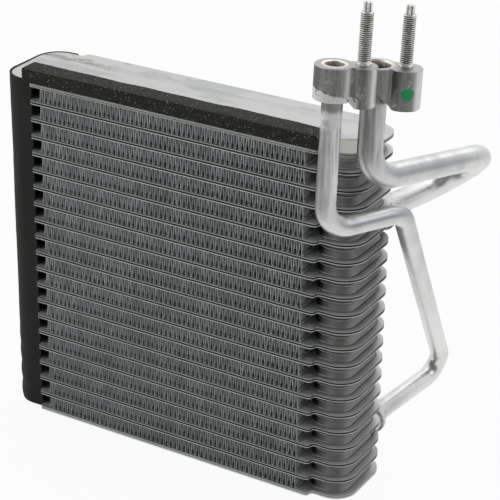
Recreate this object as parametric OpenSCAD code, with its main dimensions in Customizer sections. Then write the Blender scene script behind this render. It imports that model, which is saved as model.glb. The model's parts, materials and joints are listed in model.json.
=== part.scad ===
// Laminated evaporator core for a vehicle air conditioner.
// Flat tubes made of pairs of stamped plates are stacked with corrugated fins between them.
// X runs along the tubes from the wrapped end to the tank end, Y from front to rear, Z up the stack.
// The origin is the centre of the underside of the bottom end plate.

/* [Core] */
// Length of a tube plate from end to end
plate_len = 269; // [200:1:340]
// Depth of the finned part of the core
core_depth = 68; // [54:1:90]
// Number of flat tubes in the stack
tube_count = 19; // [15:1:23]
// Distance between neighbouring tubes
tube_pitch = 12.2; // [11.2:0.1:14]
// Length of the narrower zone at each end of a plate
end_zone = 25.6; // [24:0.2:32]
// How far the narrower zone is set back from the front and rear edges
end_setback = 5; // [3:0.5:7]
// Radius of the outer corners of a plate
corner_r = 16; // [11:0.5:18]

/* [Tube plates] */
// Thickness of a tube between its two fin faces
tube_h = 3; // [2.6:0.1:3.6]
// Thickness of one plate rim, from the seam to its outer face
rim_t = 1.2; // [1:0.05:1.25]
// Height of the open groove between the two rims of a tube
rim_gap = 0.9; // [0.4:0.1:1.2]
// Depth of the open groove between the two rims
rim_lip = 1.6; // [1:0.1:2.4]
// Width of the brazed flange around the channel
flange_w = 4.2; // [3.4:0.1:5]

/* [Tank cups] */
// Width of the flange between the cup and the end of the plate
cup_flange = 5.4; // [5:0.1:7]
// Length of the cup along the tube
cup_len = 27.4; // [24:0.2:28]
// How far the cup wall leans in over its height
cup_draft = 1.8; // [0.6:0.1:2]

/* [Fins] */
// Gap between the ends of the fins and the tank cups
fin_end_gap = 0.7; // [0.6:0.1:12]
// Length of one full fold
fold_len = 5.5; // [5.5:0.1:8]
// Thickness of the fin foil
foil = 0.28; // [0.2:0.02:0.4]
// How far the fins stay back from the front and rear edges
fin_margin = 0.8; // [0.4:0.1:3]

/* [End plates] */
// Thickness of the flat cover sheet on each end plate
cover_t = 1.2; // [0.8:0.1:1.6]

/* [Pipes] */
// Outer diameter of the inlet pipe
inlet_d = 12.7; // [10:0.1:13]
// Outer diameter of the outlet pipe
outlet_d = 15.9; // [13:0.1:16.4]
// Wall of both pipes
pipe_wall = 1.2; // [0.8:0.1:1.6]
// Lean of the upright pipe legs toward the rear, in degrees
leg_lean = 3.8; // [0:0.1:6]
// Bend radius of the inlet pipe on its centreline
inlet_bend_r = 17; // [14:0.5:19]
// Bend radius of the inlet pipe where it turns back to the tank
inlet_return_r = 12.5; // [11:0.5:17]
// Bend radius of the outlet pipe on its centreline
outlet_bend_r = 22; // [18:0.5:24]

/* [Pipe routes] */
// Level of the inlet joint, in pitches above the bottom end plate
inlet_level = 2.5; // [2.5:0.5:4.5]
// Level of the outlet joint, in pitches below the top end plate
outlet_level = 5; // [4:0.5:6]
// Distance of both pipe joints from the end of the tank
entry_inset = 12; // [12:0.5:16]
// Height of the inlet leg's foot below the top of the core
inlet_foot_drop = 36.9; // [34:0.5:46]
// Height of the outlet leg's foot below the top of the core
outlet_foot_drop = 12.9; // [8:0.5:14]
// How far the inlet leg stands in front of the tank
inlet_front = 35; // [30:0.5:45]
// How far the outlet leg stands in front of the tank
outlet_front = 1.7; // [1:0.1:6]
// Distance of the inlet leg from the end of the tank
inlet_in = 4.4; // [4:0.2:8]
// Distance of the outlet leg beyond the end of the tank
outlet_out = 6.8; // [5:0.2:9]
// How far the inlet pipe swings out beyond the end of the tank
inlet_swing = 22.5; // [19:0.5:27]
// How far the outlet pipe swings out beyond the end of the tank
outlet_swing = 38.5; // [32:0.5:44]
// How far both pipes reach back behind the tank
rear_reach = 97; // [90:1:110]
// How much less far back the inlet pipe reaches
inlet_rear_less = 2; // [0:0.5:6]
// How much farther back the outlet pipe reaches
outlet_rear_more = 1.6; // [0:0.2:5]
// Length of the straight lead into each pipe joint
lead_len = 18; // [14:0.5:22]
// How far back from the front of the tank the inlet pipe turns to the rear
inlet_turn_in = 16; // [12:0.5:20]
// How far behind the tank the outer run of the outlet pipe reaches
outlet_turn_back = 36.7; // [32:0.1:42]
// How far the outer run of the outlet pipe falls toward the rear
outlet_fall = 10.5; // [8:0.5:13]
// How far outside its joint the inlet pipe turns back
inlet_return_out = 8.5; // [6:0.5:11]
// How far above its joint the inlet pipe turns back
inlet_return_rise = 0.3; // [0.1:0.1:2]
// How far outside its joint the outlet pipe turns back
outlet_return_out = 11.5; // [9:0.5:13]
// How far below its joint the outlet pipe turns back
outlet_return_fall = 4.8; // [3:0.2:7]

/* [Connector blocks] */
// Height of the top of the inlet block above the core
inlet_rise = 67.2; // [60:0.2:80]
// Height of the top of the outlet block above the core
outlet_rise = 60; // [55:0.2:75]
// Height of the stud side of both blocks
block_h = 24.6; // [22:0.2:30]
// Outer diameter of the port side of the inlet block
inlet_port_od = 24; // [21:0.2:24.6]
// Outer diameter of the stud side of the inlet block
inlet_stud_od = 17; // [14:0.2:18]
// Distance between port and stud in the inlet block
inlet_span = 16.6; // [15:0.2:17]
// Turn of the inlet block about its port, in degrees
inlet_turn = 30; // [24:1:36]
// Outer diameter of the port side of the outlet block
outlet_port_od = 25.4; // [24:0.2:26.4]
// Outer diameter of the stud side of the outlet block
outlet_stud_od = 20.6; // [16:0.2:21]
// Distance between port and stud in the outlet block
outlet_span = 17.5; // [16:0.2:20]
// Turn of the outlet block about its port, in degrees
outlet_turn = 16; // [10:1:26]
// Diameter of the inlet port
inlet_port_d = 11.6; // [9:0.1:12.4]
// Diameter of the outlet port
outlet_port_d = 18; // [15.9:0.1:19]
// Depth of both ports below the top of their blocks
port_depth = 8; // [6:0.5:8.5]
// How much shorter the inlet block is under its port
inlet_step = 4; // [2:0.5:6]
// How much shorter the outlet block is under its port
outlet_step = 10; // [6:0.5:11]

/* [Studs] */
// Outer diameter of the stud thread
stud_d = 8; // [6:0.5:8]
// Height of the stud above its block
stud_len = 37.4; // [28:0.2:45]
// Diameter of the collar at the foot of a stud
stud_collar_d = 9.2; // [9:0.1:11]
// Height of the collar at the foot of a stud
stud_collar_h = 1.8; // [1:0.1:3]
// Depth of the stud in its block
stud_root = 14; // [10:0.5:16]
// Diameter of the drive tip at the end of a stud
tip_d = 5.4; // [4:0.1:5.6]
// Length of the drive tip at the end of a stud
tip_len = 5.5; // [4:0.5:8]

/* [Foam] */
// Height of the foam strip above the top end plate
strip_h = 9.8; // [6:0.2:14]
// Depth of the foam strip from front to rear
strip_w = 14.5; // [10:0.5:24]
// How far the foam strip runs past the full depth of the core at its left end
strip_over = 5.3; // [2:0.1:8]
// Distance between the wrap's front edge and the wider part of the plates
wrap_front_gap = 0.6; // [0.4:0.1:3]
// How much less the wrap covers on the rear face
wrap_rear_less = 4; // [0:0.5:8]
// Thickness of the wrap on the left end
wrap_t = 1.4; // [1:0.1:3]
// Height of the wrap above the top end plate
wrap_rise = 0.4; // [0.2:0.1:3]

/* [Hidden] */
$fn = 48;

half_len = plate_len / 2;
edge = core_depth / 2;
zone_edge = edge - end_setback;
zone_x = half_len - end_zone;
channel_x = zone_x - end_setback / 2;
// The shoulders are S-curves made of two equal arcs.
shoulder_r = end_setback / 2;
core_top = 2 * cover_t + tube_pitch * (tube_count + 1);
fin_h = tube_pitch - tube_h;

cup_x1 = half_len - cup_flange;
cup_x0 = cup_x1 - cup_len;
cup_y = zone_edge - flange_w;
cup_r = corner_r - cup_flange;
cup_h = tube_pitch / 2 - rim_t;
// The fins end just short of the cups, and as far from the middle at the left end.
fin_len = 2 * (cup_x0 - fin_end_gap);

neck_wall = 1.5;
inlet_neck = inlet_d + 2 * neck_wall;
outlet_neck = outlet_d + 2 * neck_wall;
collar_t = 3;
sleeve_l = 1.6;
collar_over = 1.7;
neck_depth = 3;
stop_depth = 2;
lap = 0.4;
entry_x = half_len - entry_inset;
inlet_z = cover_t + tube_pitch * inlet_level;
outlet_z = core_top - cover_t - tube_pitch * outlet_level;
neck_y = cup_y - neck_depth;
stop_y = neck_y + stop_depth;

// Corner points of both pipe routes. The upright legs lean, so their tops follow from the foot.
leg_dir = [0, sin(leg_lean), cos(leg_lean)];
inlet_foot = [half_len - inlet_in, -(zone_edge + inlet_front), core_top - inlet_foot_drop];
outlet_foot = [half_len + outlet_out, -(zone_edge + outlet_front), core_top - outlet_foot_drop];
// Distance along each leg from its foot to the top of its block
inlet_leg = (inlet_rise + inlet_foot_drop) / cos(leg_lean);
outlet_leg = (outlet_rise + outlet_foot_drop) / cos(leg_lean);
rear_y = zone_edge + rear_reach;
// A short straight lead into each joint, behind a gentle bend
lead_y = zone_edge + lead_len;
inlet_route = [
    inlet_foot + (inlet_leg - port_depth) * leg_dir,
    inlet_foot,
    [half_len + inlet_swing, -(zone_edge - inlet_turn_in), inlet_foot[2]],
    [entry_x + inlet_return_out, rear_y - inlet_rear_less, inlet_z + inlet_return_rise],
    [entry_x, lead_y, inlet_z],
    [entry_x, stop_y, inlet_z]];
outlet_route = [
    outlet_foot + (outlet_leg - port_depth) * leg_dir,
    outlet_foot,
    [half_len + outlet_swing, zone_edge + outlet_turn_back, outlet_foot[2] - outlet_fall],
    [entry_x + outlet_return_out, rear_y + outlet_rear_more, outlet_z - outlet_return_fall],
    [entry_x, lead_y, outlet_z],
    [entry_x, stop_y, outlet_z]];

silver = [0.80, 0.81, 0.82];
tube_grey = [0.52, 0.53, 0.54];
fin_grey = [0.42, 0.45, 0.49];
block_grey = [0.56, 0.56, 0.54];
plated = [0.62, 0.61, 0.56];
foam_black = [0.16, 0.16, 0.14];
wrap_black = [0.12, 0.12, 0.11];

// Height of the seam of tube k, where 0 is the top end plate.
function seam(k) = cover_t + tube_pitch * (tube_count + 1 - k);

// Outline of a plate, drawn in by i on every side.
module outline(i = 0) {
    r = max(shoulder_r - i, 0.3);
    e = edge - i;
    z = zone_edge - i;
    m = zone_x - i;
    c = corner_r - i;
    square([2 * m, 2 * (e - r)], center = true);
    square([2 * (m - r), 2 * e], center = true);
    for (sx = [-1, 1], sy = [-1, 1])
        translate([sx * (m - r), sy * (e - r)])
            circle(r);
    square([2 * (half_len - i), 2 * (z - c)], center = true);
    square([2 * (half_len - i - c), 2 * z], center = true);
    for (sx = [-1, 1], sy = [-1, 1])
        translate([sx * (half_len - i - c), sy * (z - c)])
            circle(c);
    s = shoulder_r + i;
    for (sx = [-1, 1], sy = [-1, 1])
        translate([sx * m, sy * z])
            difference() {
                translate([sx > 0 ? 0 : -s, sy > 0 ? -0.01 : -s])
                    square([s, s + 0.01]);
                translate([sx * s, sy * s])
                    circle(s);
            }
}

// A rectangle with rounded corners.
module rounded(x0, x1, y, r) {
    translate([x0 + r, -y])
        square([x1 - x0 - 2 * r, 2 * y]);
    translate([x0, r - y])
        square([x1 - x0, 2 * (y - r)]);
    for (x = [x0 + r, x1 - r], s = [-1, 1])
        translate([x, s * (y - r)])
            circle(r);
}

// A cup with drafted walls: four cones joined by two crossed wedges.
module cup() {
    d = cup_draft;
    h = cup_h;
    xa = cup_x0 + cup_r;
    xb = cup_x1 - cup_r;
    yc = cup_y - cup_r;
    for (x = [xa, xb], s = [-1, 1])
        translate([x, s * yc, 0])
            cylinder(h = h, r1 = cup_r, r2 = cup_r - d);
    translate([xa, 0, 0])
        rotate([90, 0, 90])
            linear_extrude(height = xb - xa)
                polygon([[-cup_y, 0], [cup_y, 0], [cup_y - d, h], [d - cup_y, h]]);
    translate([0, yc, 0])
        rotate([90, 0, 0])
            linear_extrude(height = 2 * yc)
                polygon([[cup_x0, 0], [cup_x1, 0], [cup_x1 - d, h], [cup_x0 + d, h]]);
}

// The raised channel of a plate, and the cup that reaches half-way to the next plate.
module plate_face() {
    linear_extrude(height = tube_h / 2)
        rounded(-cup_x1, 0, cup_y, cup_r);
    linear_extrude(height = tube_h / 2)
        rounded(-channel_x, channel_x, edge - flange_w, 3);
    translate([0, 0, rim_t])
        cup();
}

// Holes for the necks of both pipe joints, cut only where a neck passes within reach of height z.
module neck_holes(z) {
    for (p = [[inlet_z, inlet_neck], [outlet_z, outlet_neck]])
        if (abs(z - p[0]) < tube_pitch / 2 + p[1] / 2)
            translate([entry_x, neck_y, p[0]])
                rotate([-90, 0, 0])
                    cylinder(h = end_setback + cup_y, d = p[1]);
}

// Two stamped plates brazed face to face, with a groove left open between their rims.
module tube(k) {
    z = seam(k);
    difference() {
        translate([0, 0, z]) {
            translate([0, 0, -rim_t])
                linear_extrude(height = 2 * rim_t)
                    outline(rim_lip);
            for (s = [0, 1])
                mirror([0, 0, s])
                    translate([0, 0, rim_gap / 2])
                        linear_extrude(height = rim_t - rim_gap / 2)
                            outline();
            plate_face();
            mirror([0, 0, 1])
                plate_face();
        }
        neck_holes(z);
    }
}

// A stamped plate under a flat cover sheet.
module end_plate() {
    linear_extrude(height = cover_t)
        outline();
    mirror([0, 0, 1]) {
        linear_extrude(height = rim_t)
            outline(rim_lip);
        translate([0, 0, rim_gap / 2])
            linear_extrude(height = rim_t - rim_gap / 2)
                outline();
        plate_face();
    }
}

// A corrugated strip: one zigzag line and the same line a foil's height above it.
module fin() {
    n = floor(2 * fin_len / fold_len);
    dx = fin_len / n;
    t = foil * sqrt(1 + pow(fin_h / dx, 2));
    a = (fin_h - t) / 2;
    low = [for (i = [0:n]) [i * dx - fin_len / 2, (i % 2 == 0 ? -a : a) - t / 2]];
    high = [for (i = [n:-1:0]) low[i] + [0, t]];
    rotate([90, 0, 0])
        linear_extrude(height = core_depth - 2 * fin_margin, center = true)
            polygon(concat(low, high));
}

function unit(v) = v / norm(v);
function leg_of(r, i) = unit(r[i] - r[i - 1]);
function bend_normal(r, i) = unit(cross(leg_of(r, i), leg_of(r, i + 1)));
function bend_angle(r, i) = acos(leg_of(r, i) * leg_of(r, i + 1));
// Length that the bend at corner i takes from each straight beside it.
function cut_back(r, i, radii) = i == 0 || i == len(r) - 1 ? 0 : radii[i - 1] * tan(bend_angle(r, i) / 2);
// Turn from the plane of bend i - 1 to the plane of bend i.
function twist(r, i) =
    i == 1 ? 0 : let (a = bend_normal(r, i - 1), b = bend_normal(r, i)) atan2(cross(a, b) * leg_of(r, i), a * b);

// Straight i of route r, the bend after it and the rest of the route. Z runs along the straight.
// The radii are those of the bends, in order.
// Each straight ends just inside its bends, which are a hair thicker.
module run(r, radii, d, i, over) {
    radius = radii[i - 1];
    first = i == 1 ? over : lap;
    last = i == len(r) - 1;
    l = norm(r[i] - r[i - 1]) - cut_back(r, i - 1, radii) - cut_back(r, i, radii);
    translate([0, 0, -first])
        cylinder(h = l + first + (last ? over : lap), d = d);
    if (!last)
        translate([0, 0, l])
            rotate([0, 0, twist(r, i)])
                translate([radius, 0, 0]) {
                    rotate([90, 0, 180])
                        rotate_extrude(angle = bend_angle(r, i))
                            translate([radius, 0])
                                circle(d = d + lap / 4);
                    rotate([0, bend_angle(r, i), 0])
                        translate([-radius, 0, 0])
                            run(r, radii, d, i + 1, over);
                }
}

// A rod of diameter d along route r, longer at both ends by over.
module rod(r, radii, d, over = 0) {
    u = leg_of(r, 1);
    n = bend_normal(r, 1);
    m = cross(n, u);
    multmatrix([[m[0], n[0], u[0], r[0][0]], [m[1], n[1], u[1], r[0][1]], [m[2], n[2], u[2], r[0][2]], [0, 0, 0, 1]])
        run(r, radii, d, 1, over);
}

module pipe(r, radii, d) {
    difference() {
        rod(r, radii, d);
        rod(r, radii, d - 2 * pipe_wall, 1);
    }
}

// A stepped joint ring: a neck inside the tank, a flange on the rims and a short sleeve.
module collar(z, d, neck) {
    translate([entry_x, neck_y, z])
        rotate([-90, 0, 0])
            difference() {
                union() {
                    cylinder(h = zone_edge - neck_y, d = neck);
                    translate([0, 0, zone_edge - neck_y])
                        cylinder(h = collar_t, d = neck + 2 * collar_over);
                    translate([0, 0, zone_edge - neck_y + collar_t])
                        cylinder(h = sleeve_l, d1 = neck + 1, d2 = d + 1);
                }
                translate([0, 0, stop_y - neck_y])
                    cylinder(h = core_depth, d = d);
                translate([0, 0, -1])
                    cylinder(h = core_depth, d = d - 2 * pipe_wall);
            }
}

// Moves to the top of a leg, with the leg's direction as the new z axis.
module at_leg_top(foot, leg) {
    translate(foot)
        rotate([-leg_lean, 0, 0])
            translate([0, 0, leg])
                children();
}

// A round lobe with broken edges, standing below z = 0.
module lobe(d, h) {
    e = 0.5;
    translate([0, 0, -h])
        cylinder(h = e, d1 = d - 2 * e, d2 = d);
    translate([0, 0, e - h])
        cylinder(h = h - 2 * e, d = d);
    translate([0, 0, -e])
        cylinder(h = e, d1 = d, d2 = d - 2 * e);
}

// A block cut from a profile of two lobes, stepped up under its port.
module block(port_od, stud_od, span, turn, step, port_d, pipe_d, lead_in) {
    web = min(port_od, stud_od) * 0.8;
    rotate([0, 0, turn])
        difference() {
            union() {
                lobe(port_od, block_h);
                translate([span, 0, 0])
                    lobe(stud_od, block_h);
                translate([0, -web / 2, -block_h])
                    cube([span, web, block_h]);
            }
            rotate([90, 0, 0])
                linear_extrude(height = 2 * port_od, center = true)
                    polygon([[-port_od, -block_h - 1], [span - stud_od / 4, -block_h - 1],
                             [span - stud_od / 4, -block_h], [span - stud_od / 4 - step * 0.9, step - block_h],
                             [-port_od, step - block_h]]);
            translate([0, 0, -port_depth])
                cylinder(h = port_depth + 1, d = port_d);
            translate([0, 0, -lead_in])
                cylinder(h = lead_in + 0.01, d1 = port_d, d2 = port_d + 2 * lead_in);
            translate([0, 0, -block_h - 1])
                cylinder(h = block_h + 1 - port_depth, d = pipe_d);
            translate([span, 0, -stud_root])
                cylinder(h = stud_root + 1, d = stud_d);
        }
}

// A stud with a collar that rests on the block and a lobed drive tip.
module stud() {
    shank = stud_len - tip_len;
    difference() {
        union() {
            translate([0, 0, -stud_root])
                cylinder(h = stud_root + shank - 0.6, d = stud_d);
            translate([0, 0, shank - 0.6])
                cylinder(h = 0.6, d1 = stud_d, d2 = stud_d - 1.2);
            cylinder(h = stud_collar_h, d = stud_collar_d);
            translate([0, 0, shank])
                cylinder(h = tip_len - 0.5, d = tip_d);
            translate([0, 0, stud_len - 0.5])
                cylinder(h = 0.5, d1 = tip_d, d2 = tip_d - 1);
        }
        for (a = [0:60:300])
            rotate([0, 0, a])
                translate([tip_d / 2 + 0.5, 0, shank])
                    cylinder(h = tip_len + 1, d = 2);
    }
}

module strip_box() {
    translate([-zone_x - strip_over, -edge, core_top])
        cube([2 * zone_x + strip_over, strip_w, strip_h]);
}

// A foam sheet bent round the left end, open toward the fins.
module wrap() {
    front_x = -zone_x - wrap_front_gap;
    rear_x = front_x - wrap_rear_less;
    difference() {
        linear_extrude(height = core_top + wrap_rise)
            difference() {
                translate([-half_len - wrap_t, 0])
                    rounded(0, half_len, zone_edge + wrap_t, corner_r + wrap_t);
                outline();
                translate([front_x, -core_depth])
                    square([plate_len, core_depth]);
                translate([rear_x, 0])
                    square([plate_len, core_depth]);
            }
        strip_box();
    }
}

module top_end_plate() {
    color(silver)
        translate([0, 0, seam(0)])
            end_plate();
}

module bottom_end_plate() {
    color(tube_grey)
        translate([0, 0, cover_t])
            mirror([0, 0, 1])
                end_plate();
}

module inlet_pipe() {
    color(silver)
        pipe(inlet_route, [inlet_bend_r, inlet_bend_r, inlet_return_r, inlet_bend_r], inlet_d);
}

module outlet_pipe() {
    color(silver)
        pipe(outlet_route, [for (i = [1:4]) outlet_bend_r], outlet_d);
}

module inlet_collar() {
    color(silver)
        collar(inlet_z, inlet_d, inlet_neck);
}

module outlet_collar() {
    color(silver)
        collar(outlet_z, outlet_d, outlet_neck);
}

module inlet_block() {
    color(block_grey)
        at_leg_top(inlet_foot, inlet_leg)
            block(inlet_port_od, inlet_stud_od, inlet_span, inlet_turn, inlet_step, inlet_port_d, inlet_d, 0.4);
}

module outlet_block() {
    color(block_grey)
        at_leg_top(outlet_foot, outlet_leg)
            block(outlet_port_od, outlet_stud_od, outlet_span, outlet_turn, outlet_step, outlet_port_d, outlet_d, 1);
}

module inlet_stud() {
    color(plated)
        at_leg_top(inlet_foot, inlet_leg)
            rotate([0, 0, inlet_turn])
                translate([inlet_span, 0, 0])
                    stud();
}

module outlet_stud() {
    color(plated)
        at_leg_top(outlet_foot, outlet_leg)
            rotate([0, 0, outlet_turn])
                translate([outlet_span, 0, 0])
                    stud();
}

module top_foam_strip() {
    color(foam_black)
        strip_box();
}

module end_foam_wrap() {
    color(wrap_black)
        wrap();
}

for (k = [1:tube_count])
    color(tube_grey)
            tube(k);

for (k = [1:tube_count + 1])
    color(fin_grey)
            translate([0, 0, seam(k) + tube_pitch / 2])
                fin();

top_end_plate();
bottom_end_plate();
inlet_pipe();
outlet_pipe();
inlet_collar();
outlet_collar();
inlet_block();
outlet_block();
inlet_stud();
outlet_stud();
top_foam_strip();
end_foam_wrap();
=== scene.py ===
import json
import math
import bpy
from mathutils import Matrix, Vector, noise

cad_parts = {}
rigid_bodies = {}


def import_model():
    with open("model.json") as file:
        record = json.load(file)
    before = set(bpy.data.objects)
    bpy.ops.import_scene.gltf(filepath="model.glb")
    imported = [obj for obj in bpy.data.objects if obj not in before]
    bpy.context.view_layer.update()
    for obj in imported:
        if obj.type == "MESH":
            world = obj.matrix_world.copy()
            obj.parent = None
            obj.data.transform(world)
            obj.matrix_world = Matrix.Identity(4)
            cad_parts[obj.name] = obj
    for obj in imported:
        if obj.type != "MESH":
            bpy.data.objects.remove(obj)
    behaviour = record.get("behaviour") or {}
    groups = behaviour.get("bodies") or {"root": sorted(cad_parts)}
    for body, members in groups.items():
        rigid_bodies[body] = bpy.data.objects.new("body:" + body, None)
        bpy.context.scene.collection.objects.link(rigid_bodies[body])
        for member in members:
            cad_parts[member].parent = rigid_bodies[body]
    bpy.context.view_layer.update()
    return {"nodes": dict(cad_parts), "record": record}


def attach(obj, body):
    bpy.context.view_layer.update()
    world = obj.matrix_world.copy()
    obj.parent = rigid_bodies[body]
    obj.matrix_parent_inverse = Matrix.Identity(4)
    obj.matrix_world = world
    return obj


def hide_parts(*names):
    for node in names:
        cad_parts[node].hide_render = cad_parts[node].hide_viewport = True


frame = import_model()
nodes = frame["nodes"]
mm = 0.001

# Sizes of the CAD's core, in mm
core = dict(halfLength=134.5, zoneEdge=29.0, cornerRadius=16.0, pitch=12.2, gaps=20, cover=1.2, top=246.4)

# The upright end of each pipe, in mm and degrees: where its leg starts, how long it is, how its block is
# turned, the distance from pipe to stud, the pipe's diameter, how far the block hangs below the leg's top,
# and the height of the joint at the tank
legs = dict(lean=3.8, jointX=122.5, jointY=33.7,
            inlet=dict(foot=(130.1, -64.0, 209.5), length=104.33, turn=30.0, span=16.6, pipe=12.7, under=20.6,
                       joint=31.7),
            outlet=dict(foot=(141.3, -30.7, 233.5), length=73.06, turn=16.0, span=17.5, pipe=15.9, under=14.6,
                        joint=184.2))


def legFrame(leg):
    # The CAD's frame at the top of a leg: z along the leg, x towards the stud
    foot = Matrix.Translation([c * mm for c in leg["foot"]])
    lean = Matrix.Rotation(math.radians(-legs["lean"]), 4, "X")
    turn = Matrix.Rotation(math.radians(leg["turn"]), 4, "Z")
    return foot @ lean @ Matrix.Translation((0, 0, leg["length"] * mm)) @ turn


for side in ("inlet", "outlet"):
    legs[side]["top"] = [v / mm for v in legFrame(legs[side]).translation]


def pick(sockets, key):
    # An enabled socket, by its number, name or identifier
    live = [s for s in sockets if s.enabled]
    if isinstance(key, int):
        return live[key]
    return next(s for s in live if s.name == key or s.identifier == key)


class Wire:
    # A socket that can be used in plain arithmetic
    def __init__(self, net, socket):
        self.net = net
        self.socket = socket

    def of(self, key):
        return Wire(self.net, pick(self.socket.node.outputs, key))

    def math(self, operation, *others):
        return self.net.math(operation, self, *others)

    def __add__(self, other):
        return self.math("ADD", other)

    def __sub__(self, other):
        return self.math("SUBTRACT", other)

    def __rsub__(self, other):
        return self.net.math("SUBTRACT", other, self)

    def __mul__(self, other):
        return self.math("MULTIPLY", other)

    def __truediv__(self, other):
        return self.math("DIVIDE", other)

    def __mod__(self, other):
        return self.math("FLOORED_MODULO", other)

    def __pow__(self, other):
        return self.math("POWER", other)

    def __abs__(self):
        return self.math("ABSOLUTE")

    def __neg__(self):
        return self.math("MULTIPLY", -1.0)

    __radd__ = __add__
    __rmul__ = __mul__

    def above(self, edge):
        return self.math("GREATER_THAN", edge)

    def larger(self, other):
        return self.math("MAXIMUM", other)

    def smaller(self, other):
        return self.math("MINIMUM", other)

    def ramp(self, low, high):
        # 0 below low, 1 above high, smooth between
        ends = {"Value": self, "From Min": low, "From Max": high, "To Min": 0.0, "To Max": 1.0}
        return self.net.add("ShaderNodeMapRange", ends, interpolation_type="SMOOTHSTEP")

    def near(self, centre, half, soft):
        # 1 within half of centre, fading to 0 over soft on either side of that edge
        return 1 - abs(self - centre).ramp(half - soft, half + soft)


class Net:
    def __init__(self, tree):
        self.tree = tree

    def add(self, kind, inputs=None, out=0, **settings):
        # A new node: inputs are values or wires by socket name, settings are the node's own properties
        node = self.tree.nodes.new(kind)
        for key, value in settings.items():
            setattr(node, key, value)
        for key, value in (inputs or {}).items():
            target = pick(node.inputs, key)
            for part in (value if isinstance(value, list) else [value]):
                if isinstance(part, Wire):
                    self.tree.links.new(part.socket, target)
                else:
                    target.default_value = part
        return Wire(self, pick(node.outputs, out)) if node.outputs else None

    def math(self, operation, *terms):
        return self.add("ShaderNodeMath", dict(enumerate(terms)), operation=operation)

    def vector(self, **parts):
        return self.add("ShaderNodeCombineXYZ", parts)


def rgba(colour):
    return (*colour, 1.0) if isinstance(colour, tuple) else colour


class Finish(Net):
    def __init__(self, name, **constants):
        self.material = bpy.data.materials.new(name)
        self.material.use_nodes = True
        super().__init__(self.material.node_tree)
        self.shader = self.tree.nodes["Principled BSDF"]
        for key, value in constants.items():
            self.shader.inputs[key.replace("_", " ")].default_value = value
        # Place in mm, and the components of the surface direction
        self.place = self.add("ShaderNodeTexCoord", out="Object")
        split = self.add("ShaderNodeSeparateXYZ", {"Vector": self.place})
        self.x, self.y, self.z = (split.of(axis) * 1000.0 for axis in "XYZ")
        normal = self.add("ShaderNodeNewGeometry", out="Normal")
        facing = self.add("ShaderNodeSeparateXYZ", {"Vector": normal})
        self.nx, self.ny, self.nz = (facing.of(axis) for axis in "XYZ")

    def grain(self, size, stretch=(1, 1, 1), detail=3.0, rough=0.55, shift=0.0):
        # Noise from 0 to 1 with spots about size mm across
        where = self.add("ShaderNodeMapping", {"Vector": self.place, "Scale": stretch,
                                               "Location": (shift, shift, 0)})
        return self.add("ShaderNodeTexNoise", {"Vector": where, "Scale": 1000.0 / size, "Detail": detail,
                                               "Roughness": rough})

    def away(self, point):
        # Distance in mm from a point
        return ((self.x - point[0]) ** 2.0 + (self.y - point[1]) ** 2.0 + (self.z - point[2]) ** 2.0) ** 0.5

    def storeys(self):
        # Height counted in pitches, with a tube's middle plane at each whole number
        return (self.z - core["cover"]) / core["pitch"]

    def fromLeg(self, leg):
        # Distances in mm from the top of a leaning leg: along it, and across it towards the rear
        lean = math.radians(legs["lean"])
        y = self.y - leg["top"][1]
        z = self.z - leg["top"][2]
        return y * math.sin(lean) + z * math.cos(lean), y * math.cos(lean) - z * math.sin(lean)

    def mix(self, amount, under, over):
        return self.add("ShaderNodeMix", {"Factor": amount, "A": rgba(under), "B": rgba(over)}, out="Result",
                        data_type="RGBA")

    def paint(self, **links):
        for key, value in links.items():
            self.tree.links.new(value.socket, self.shader.inputs[key.replace("_", " ")])

    def relief(self, height, distance, strength=1.0):
        self.paint(Normal=self.add("ShaderNodeBump", {"Height": height, "Distance": distance * mm,
                                                      "Strength": strength}))


def pastRounded(x, y, radius):
    # How far a place lies outside a rounded rectangle, given how far it is past the centres of the corners
    return (x.larger(0.0) ** 2.0 + y.larger(0.0) ** 2.0) ** 0.5 + x.larger(y).smaller(0.0) - radius


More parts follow.
